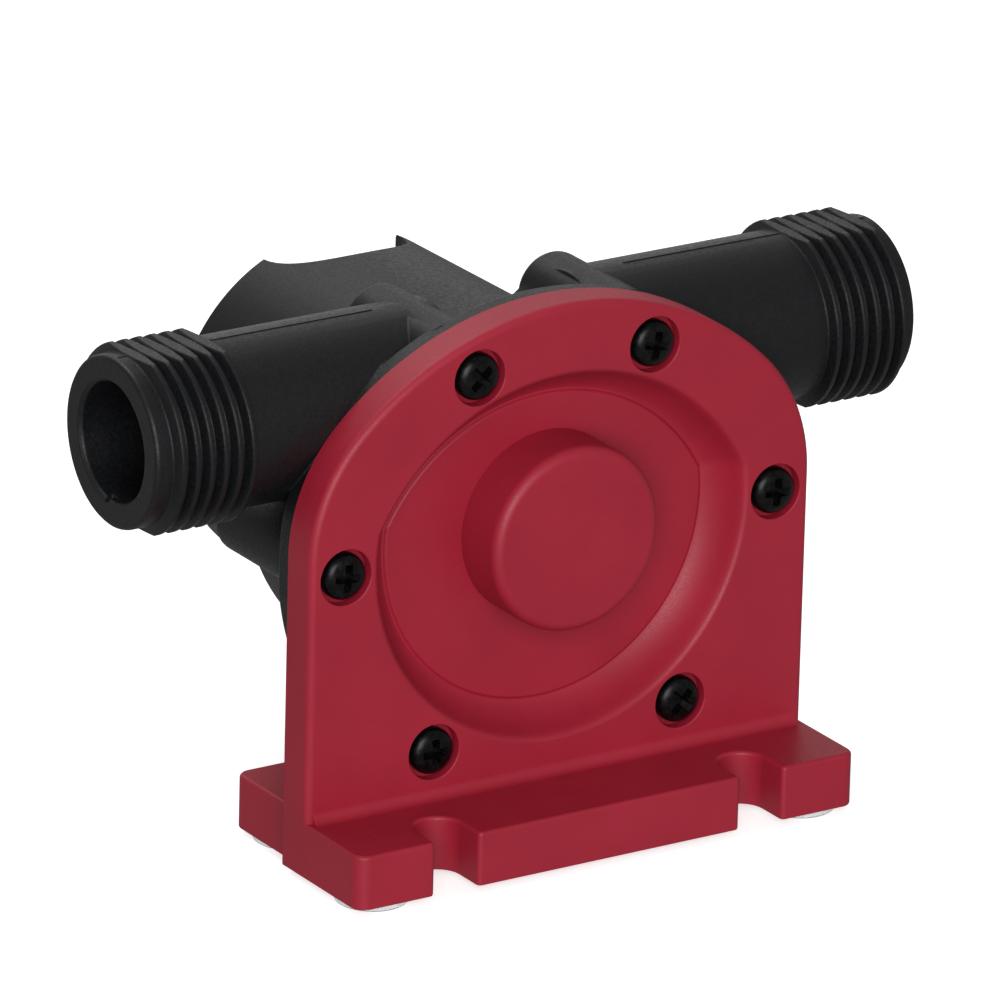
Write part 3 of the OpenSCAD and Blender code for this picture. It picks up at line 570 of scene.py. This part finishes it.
bpy.ops.object.mode_set(mode="EDIT")
bpy.ops.mesh.select_all(action="SELECT")
bpy.ops.mesh.remove_doubles(threshold=0.005)
bpy.ops.mesh.select_all(action="SELECT")
bpy.ops.mesh.fill_holes(sides=0)
bpy.ops.mesh.normals_make_consistent(inside=False)
bpy.ops.transform.translate(value=(0, port_y, port_z))
object_mode()
bpy.ops.mesh.primitive_cube_add(size=1, location=(port_end - 10, port_y, port_z))
flats = bpy.context.object
flats.scale = (30, 40, 2 * thread_flat)
bpy.ops.object.transform_apply(location=True, rotation=True, scale=True)
combine(thread, flats, "INTERSECT")
combine(port, thread, "UNION")
object_mode()
bpy.ops.mesh.primitive_cube_add(size=1, location=(parting_middle, port_y, port_z))
parting_ridge = bpy.context.object
parting_ridge.scale = (parting_length, parting_w, 2 * tube_r + 2 * parting_h)
bpy.ops.object.transform_apply(location=True, rotation=True, scale=True)
combine(port, parting_ridge, "UNION")
both_sides(port, housing, "UNION")

# The screw bosses end in a rounded hump behind the flange
for (x, z), radius in zip(screw_places, boss_rs):
    lug = add_drum("lug", radius, flange_rear - 1, boss_end, x, z, sides=72)
    pick("EDGE", lambda m, a: abs(m.y - boss_end) < 0.01)
    bpy.ops.mesh.bevel(offset=boss_round, segments=5, profile=0.5, clamp_overlap=False)
    combine(housing, lug, "UNION")

# The bell is hollow, with a round bite out of its rim above and below, which one long cutter makes,
# and it holds the seal's tube on four ribs
hollow = add_drum("hollow", bell_inner_r, bell_front, bell_end + 1, sides=160)
combine(housing, hollow, "DIFFERENCE")
object_mode()
bpy.ops.mesh.primitive_cylinder_add(vertices=96, radius=scallop_r, depth=100, location=(0, bell_end, axis_z))
scallop = bpy.context.object
bpy.ops.object.transform_apply(location=True, rotation=True, scale=True)
combine(housing, scallop, "DIFFERENCE")
seal_tube = add_drum("seal_tube", seal_tube_r, bell_front - 1, seal_tube_end, sides=128)
pick("EDGE", lambda m, a: abs(m.y - seal_tube_end) < 0.01)
bpy.ops.mesh.bevel(offset=seal_tube_edge_r, segments=3, profile=0.5, clamp_overlap=False)
combine(housing, seal_tube, "UNION")
for turn in (45, 135, 225, 315):
    object_mode()
    bpy.ops.mesh.primitive_cube_add(
        size=1, location=(seal_tube_r - 1 + rib_l / 2, bell_front - 1 + rib_h / 2, axis_z))
    rib = bpy.context.object
    rib.scale = (rib_l, rib_h, rib_t)
    bpy.ops.object.transform_apply(location=True, rotation=True, scale=True)
    bpy.ops.object.mode_set(mode="EDIT")
    bpy.ops.mesh.select_all(action="SELECT")
    bpy.ops.transform.rotate(value=math.radians(turn), orient_axis="Y", center_override=(0, 0, axis_z))
    combine(housing, rib, "UNION")

# The chamber with the cover's seat, the ways through the ports, the shaft's seats and the screws' holes
seat_gap, mouth_flare = 0.25, 1
seat = cam_outline("seat", plate_t - 1, spigot_grow + seat_gap)
fill_and_extrude((0, cover_inner + 2 - plate_t, 0))
combine(housing, seat, "DIFFERENCE")
chamber = cam_outline("chamber", plate_t - 1, 0)
fill_and_extrude((0, chamber_rear + 1 - plate_t, 0))
combine(housing, chamber, "DIFFERENCE")
bore = add_pipe("bore", port_bore_r, bore_bottom, port_end + 1, sides=96)
mouth = add_pipe("mouth", port_bore_r + mouth_flare, port_end - 0.5, port_end + 0.5, sides=96)
pick("FACE", lambda m, a: a.x < -0.9)
flare = port_bore_r / (port_bore_r + mouth_flare)
bpy.ops.transform.resize(value=(1, flare, flare), center_override=(0, port_y, port_z))
combine(bore, mouth, "UNION")
throat = add_pipe("throat", throat_r, elbow_x, bore_bottom + 1, sides=64)
combine(bore, throat, "UNION")
object_mode()
bpy.ops.mesh.primitive_cylinder_add(
    vertices=64, radius=drop_r, depth=drop_length, location=(elbow_x, port_y, port_z - drop_below))
drop = bpy.context.object
bpy.ops.object.transform_apply(location=True, rotation=True, scale=True)
combine(bore, drop, "UNION")
object_mode()
bpy.ops.mesh.primitive_cylinder_add(
    vertices=24, radius=notch_r, depth=3,
    location=(port_end, port_y - 1.2, port_z - port_bore_r), rotation=(0, math.pi / 2, 0))
notch = bpy.context.object
bpy.ops.object.transform_apply(location=True, rotation=True, scale=True)
combine(bore, notch, "UNION")
both_sides(bore, housing, "DIFFERENCE")
for radius, near, far in shaft_seats:
    step = add_drum("step", radius, near, far, sides=96)
    combine(housing, step, "DIFFERENCE")
for x, z in screw_places:
    pilot = add_drum("pilot", pilot_r, plate_t - 1, pilot_end, x, z, sides=32)
    combine(housing, pilot, "DIFFERENCE")
housing.data.transform(into_frame)
finish_surface(housing, 32)

# Glass-filled nylon from an eroded mould: near black with a blue-grey cast, dull where it is in
# shade, with a speckled sheen where the light grazes the grain. The real grain is about 0.15 mm
# across, too fine to show, and is drawn coarser.
black_nylon, tree, shader, place = new_material("moulded_black_nylon")
shader.inputs["IOR"].default_value = 1.53
shader.inputs["Specular IOR Level"].default_value = 0.36
grain_mm, fleck_mm = 0.45, 1.1
fleck = add_node(tree, "ShaderNodeTexNoise", {}, {"Scale": 1000 / fleck_mm, "Detail": 4, "Roughness": 0.7},
                 {"Vector": place})
tone = add_node(tree, "ShaderNodeValToRGB", {}, {}, {"Fac": fleck.outputs["Fac"]})
tone.color_ramp.elements[0].position, tone.color_ramp.elements[0].color = 0.3, linear("#090A0C")
tone.color_ramp.elements[1].position, tone.color_ramp.elements[1].color = 0.75, linear("#111215")
tree.links.new(tone.outputs["Color"], shader.inputs["Base Color"])
grain = add_node(tree, "ShaderNodeTexNoise", {}, {"Scale": 1000 / grain_mm, "Detail": 3, "Roughness": 0.6},
                 {"Vector": place})
gloss = add_node(tree, "ShaderNodeMapRange", {},
                 {"From Min": 0.3, "From Max": 0.7, "To Min": 0.34, "To Max": 0.56},
                 {"Value": grain.outputs["Fac"]})
tree.links.new(gloss.outputs["Result"], shader.inputs["Roughness"])
soft_edge = add_node(tree, "ShaderNodeBevel", {"samples": 6}, {"Radius": 0.0004})
relief = add_node(tree, "ShaderNodeBump", {}, {"Strength": 0.45, "Distance": 0.00008},
                  {"Height": grain.outputs["Fac"], "Normal": soft_edge.outputs["Normal"]})
tree.links.new(relief.outputs["Normal"], shader.inputs["Normal"])
housing.data.materials.clear()
housing.data.materials.append(black_nylon)
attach(housing, "pump")
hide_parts("pump_housing")

# The gasket and the impeller
# The gasket is a flat nitrile rubber ring that the cover's spigot presses on a ledge. The impeller
# is moulded in the same rubber round its hub, with vanes that bend back along the chamber's wall.

# Nitrile rubber, compression moulded: matt black with a faint grey bloom
nitrile, tree, shader, place = new_material("nitrile_rubber")
shader.inputs["IOR"].default_value = 1.52
bloom_mm, skin_mm = 3.5, 0.35
bloom = add_node(tree, "ShaderNodeTexNoise", {}, {"Scale": 1000 / bloom_mm, "Detail": 5, "Roughness": 0.6},
                 {"Vector": place})
tone = add_node(tree, "ShaderNodeValToRGB", {}, {}, {"Fac": bloom.outputs["Fac"]})
tone.color_ramp.elements[0].position, tone.color_ramp.elements[0].color = 0.35, linear("#151517")
tone.color_ramp.elements[1].position, tone.color_ramp.elements[1].color = 0.8, linear("#262629")
tree.links.new(tone.outputs["Color"], shader.inputs["Base Color"])
gloss = add_node(tree, "ShaderNodeMapRange", {}, {"To Min": 0.6, "To Max": 0.82},
                 {"Value": bloom.outputs["Fac"]})
tree.links.new(gloss.outputs["Result"], shader.inputs["Roughness"])
skin = add_node(tree, "ShaderNodeTexNoise", {}, {"Scale": 1000 / skin_mm, "Detail": 2}, {"Vector": place})
relief = add_node(tree, "ShaderNodeBump", {}, {"Strength": 0.2, "Distance": 0.00004},
                  {"Height": skin.outputs["Fac"]})
tree.links.new(relief.outputs["Normal"], shader.inputs["Normal"])


def smooth_copy(node, name, material, body):
    """A merged, smooth copy of a CAD node, which stands for it and rides on its body."""
    piece = bpy.data.objects.new(name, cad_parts[node].data.copy())
    bpy.context.scene.collection.objects.link(piece)
    object_mode()
    piece.select_set(True)
    bpy.context.view_layer.objects.active = piece
    bpy.ops.object.mode_set(mode="EDIT")
    bpy.ops.mesh.select_mode(type="VERT")
    bpy.ops.mesh.select_all(action="SELECT")
    bpy.ops.mesh.remove_doubles(threshold=1e-6)
    finish_surface(piece, 30)
    piece.data.materials.clear()
    piece.data.materials.append(material)
    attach(piece, body)
    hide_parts(node)


smooth_copy("cover_gasket", "gasket_ring", nitrile, "pump")
smooth_copy("impeller", "impeller_moulding", nitrile, "rotor")

# The hub
# It is turned from brass bar and cross drilled for the pin that turns it with the shaft. The
# rubber of the impeller is moulded round it.

# Turned brass: warm yellow, with fine tool rings that draw the light out into bands
brass, tree, shader, place = new_material("turned_brass")
shader.inputs["Metallic"].default_value = 1.0
shader.inputs["Base Color"].default_value = linear("#B8964A")
ring_mm = 0.35  # real rings are about 0.1 mm apart, and are drawn coarser to show
wave_mm = 314  # from band to band of a wave texture whose scale is 1
rings = add_node(tree, "ShaderNodeTexWave", {"bands_direction": "Y"},
                 {"Scale": wave_mm / ring_mm, "Distortion": 0.6, "Detail": 2}, {"Vector": place})
gloss = add_node(tree, "ShaderNodeMapRange", {}, {"To Min": 0.22, "To Max": 0.36},
                 {"Value": rings.outputs["Fac"]})
tree.links.new(gloss.outputs["Result"], shader.inputs["Roughness"])
relief = add_node(tree, "ShaderNodeBump", {}, {"Strength": 0.25, "Distance": 0.00001},
                  {"Height": rings.outputs["Fac"]})
tree.links.new(relief.outputs["Normal"], shader.inputs["Normal"])
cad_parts["impeller_hub"].material_slots[0].material = brass

# The drive shaft and its pin
# The shaft is a round bar of ground steel with chamfered ends, and the drill's chuck grips the end
# in the bell. A pin of the same steel goes across it and through the hub.

# Ground steel: bright grey with fine rings and a few darker stains from handling
steel, tree, shader, place = new_material("ground_steel")
shader.inputs["Metallic"].default_value = 1.0
stain_mm = 6
stain = add_node(tree, "ShaderNodeTexNoise", {}, {"Scale": 1000 / stain_mm, "Detail": 4, "Roughness": 0.6},
                 {"Vector": place})
tone = add_node(tree, "ShaderNodeValToRGB", {}, {}, {"Fac": stain.outputs["Fac"]})
tone.color_ramp.elements[0].position, tone.color_ramp.elements[0].color = 0.3, linear("#A3A6AA")
tone.color_ramp.elements[1].position, tone.color_ramp.elements[1].color = 0.7, linear("#BFC2C5")
tree.links.new(tone.outputs["Color"], shader.inputs["Base Color"])
ring_mm = 0.3  # real grinding marks are about 0.02 mm apart, and are drawn coarser to show
rings = add_node(tree, "ShaderNodeTexWave", {"bands_direction": "Y"},
                 {"Scale": wave_mm / ring_mm, "Distortion": 1.5, "Detail": 3}, {"Vector": place})
gloss = add_node(tree, "ShaderNodeMapRange", {}, {"To Min": 0.2, "To Max": 0.38},
                 {"Value": rings.outputs["Fac"]})
tree.links.new(gloss.outputs["Result"], shader.inputs["Roughness"])
relief = add_node(tree, "ShaderNodeBump", {}, {"Strength": 0.2, "Distance": 0.000008},
                  {"Height": rings.outputs["Fac"]})
tree.links.new(relief.outputs["Normal"], shader.inputs["Normal"])
for node in ("drive_shaft", "drive_pin"):
    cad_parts[node].material_slots[0].material = steel

# The circlips and the garter spring
# Spring steel clips snap into the shaft's grooves on both sides of the impeller, and a small
# garter spring holds the seal's lip on the shaft.

# Oiled spring steel: dark grey with a brownish cast and a soft gloss
spring_steel, tree, shader, place = new_material("oiled_spring_steel")
shader.inputs["Metallic"].default_value = 1.0
oil_mm = 1.2
oil = add_node(tree, "ShaderNodeTexNoise", {}, {"Scale": 1000 / oil_mm, "Detail": 3}, {"Vector": place})
tone = add_node(tree, "ShaderNodeValToRGB", {}, {}, {"Fac": oil.outputs["Fac"]})
tone.color_ramp.elements[0].position, tone.color_ramp.elements[0].color = 0.3, linear("#55534F")
tone.color_ramp.elements[1].position, tone.color_ramp.elements[1].color = 0.75, linear("#7A7873")
tree.links.new(tone.outputs["Color"], shader.inputs["Base Color"])
gloss = add_node(tree, "ShaderNodeMapRange", {}, {"To Min": 0.26, "To Max": 0.44},
                 {"Value": oil.outputs["Fac"]})
tree.links.new(gloss.outputs["Result"], shader.inputs["Roughness"])
for node in ("front_circlip", "rear_circlip", "seal_spring"):
    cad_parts[node].material_slots[0].material = spring_steel

# The bushes
# Two plain bushes of oil-soaked sintered bronze, one pressed into the cover's boss and one into the
# housing's rear wall. The shaft runs in them.

# Sintered bronze: dull brown gold, darkened by oil in its fine pores
bronze, tree, shader, place = new_material("sintered_bronze")
shader.inputs["Metallic"].default_value = 1.0
pore_mm = 0.4  # real pores are about 0.05 mm wide, and are drawn coarser to show
pores = add_node(tree, "ShaderNodeTexVoronoi", {}, {"Scale": 1000 / pore_mm}, {"Vector": place})
tone = add_node(tree, "ShaderNodeValToRGB", {}, {}, {"Fac": pores.outputs["Distance"]})
tone.color_ramp.elements[0].position, tone.color_ramp.elements[0].color = 0.05, linear("#6E5130")
tone.color_ramp.elements[1].position, tone.color_ramp.elements[1].color = 0.3, linear("#A8804A")
tree.links.new(tone.outputs["Color"], shader.inputs["Base Color"])
gloss = add_node(tree, "ShaderNodeMapRange", {}, {"To Min": 0.55, "To Max": 0.36},
                 {"Value": pores.outputs["Distance"]})
tree.links.new(gloss.outputs["Result"], shader.inputs["Roughness"])
relief = add_node(tree, "ShaderNodeBump", {}, {"Strength": 0.3, "Distance": 0.00003},
                  {"Height": pores.outputs["Distance"]})
tree.links.new(relief.outputs["Normal"], shader.inputs["Normal"])
for node in ("front_bush", "rear_bush"):
    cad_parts[node].material_slots[0].material = bronze

# The thrust washers
# Two washers turned from acetal, one on each side of the impeller's hub. They lie loose in their
# seats and take its end load.

# Acetal: waxy off-white with a soft gloss and light that sinks in a little
acetal, tree, shader, place = new_material("turned_acetal")
shader.inputs["IOR"].default_value = 1.48
shader.inputs["Subsurface Weight"].default_value = 0.15
shader.inputs["Subsurface Scale"].default_value = 0.001
wax_mm = 2.5
wax = add_node(tree, "ShaderNodeTexNoise", {}, {"Scale": 1000 / wax_mm, "Detail": 3}, {"Vector": place})
tone = add_node(tree, "ShaderNodeValToRGB", {}, {}, {"Fac": wax.outputs["Fac"]})
tone.color_ramp.elements[0].position, tone.color_ramp.elements[0].color = 0.3, linear("#DAD5C8")
tone.color_ramp.elements[1].position, tone.color_ramp.elements[1].color = 0.7, linear("#E7E3D9")
tree.links.new(tone.outputs["Color"], shader.inputs["Base Color"])
gloss = add_node(tree, "ShaderNodeMapRange", {}, {"To Min": 0.34, "To Max": 0.5}, {"Value": wax.outputs["Fac"]})
tree.links.new(gloss.outputs["Result"], shader.inputs["Roughness"])
for node in ("thrust_washer_front", "thrust_washer_rear"):
    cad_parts[node].material_slots[0].material = acetal

# The shaft seal
# A drawn steel case with a nitrile lip moulded to it sits in the tube behind the chamber, and a
# black nylon ring that is pressed in behind it holds it.

# Drawn zinc-plated steel: pale grey with a slightly mottled, satin gloss
drawn_steel, tree, shader, place = new_material("drawn_zinc_plated_steel")
shader.inputs["Metallic"].default_value = 1.0
spangle_mm = 1.6
spangle = add_node(tree, "ShaderNodeTexVoronoi", {}, {"Scale": 1000 / spangle_mm}, {"Vector": place})
tone = add_node(tree, "ShaderNodeValToRGB", {}, {}, {"Fac": spangle.outputs["Distance"]})
tone.color_ramp.elements[0].position, tone.color_ramp.elements[0].color = 0.1, linear("#8E9195")
tone.color_ramp.elements[1].position, tone.color_ramp.elements[1].color = 0.8, linear("#ABAEB1")
tree.links.new(tone.outputs["Color"], shader.inputs["Base Color"])
gloss = add_node(tree, "ShaderNodeMapRange", {}, {"To Min": 0.3, "To Max": 0.46},
                 {"Value": spangle.outputs["Distance"]})
tree.links.new(gloss.outputs["Result"], shader.inputs["Roughness"])
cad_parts["seal_case"].material_slots[0].material = drawn_steel
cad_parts["seal_retainer"].material_slots[0].material = black_nylon
smooth_copy("seal_lip", "seal_lip_moulding", nitrile, "pump")

# The floor and the light
# A plain white table that is lit through from below, in a dim white studio, with one large
# softbox beside the camera, a smaller one high above the pump and a weak one behind it.
bpy.ops.object.select_all(action="DESELECT")
bpy.ops.mesh.primitive_plane_add(size=6, location=(0, 0, 0))
floor = bpy.context.object
floor.name = "floor"
white, tree, shader, place = new_material("white_table")
shader.inputs["Roughness"].default_value = 0.9
shader.inputs["Base Color"].default_value = linear("#F7F7F7")
shader.inputs["Emission Color"].default_value = linear("#FFFFFF")
shader.inputs["Emission Strength"].default_value = 0.62
floor.data.materials.append(white)
floor.visible_diffuse = floor.visible_glossy = False
bpy.context.scene.view_settings.view_transform = "Standard"
world = bpy.data.worlds.new("studio")
bpy.context.scene.world = world
world.use_nodes = True
world.node_tree.nodes["Background"].inputs["Color"].default_value = (1, 1, 1, 1)
world.node_tree.nodes["Background"].inputs["Strength"].default_value = 0.3
pump_middle = Vector((0, 0, 0.045))
for name, place, size, power in (
        ("key_light", (-0.8, -1.4, 0.55), 1.0, 22.5),
        ("top_light", (-0.1, 0.6, 1.2), 0.8, 6),
        ("back_light", (0.5, 1.5, 0.55), 1.2, 2.5)):
    light = bpy.data.objects.new(name, bpy.data.lights.new(name, "AREA"))
    light.data.shape, light.data.size, light.data.energy = "SQUARE", size, power
    light.location = place
    light.rotation_euler = (pump_middle - light.location).to_track_quat("-Z", "Y").to_euler()
    bpy.context.scene.collection.objects.link(light)
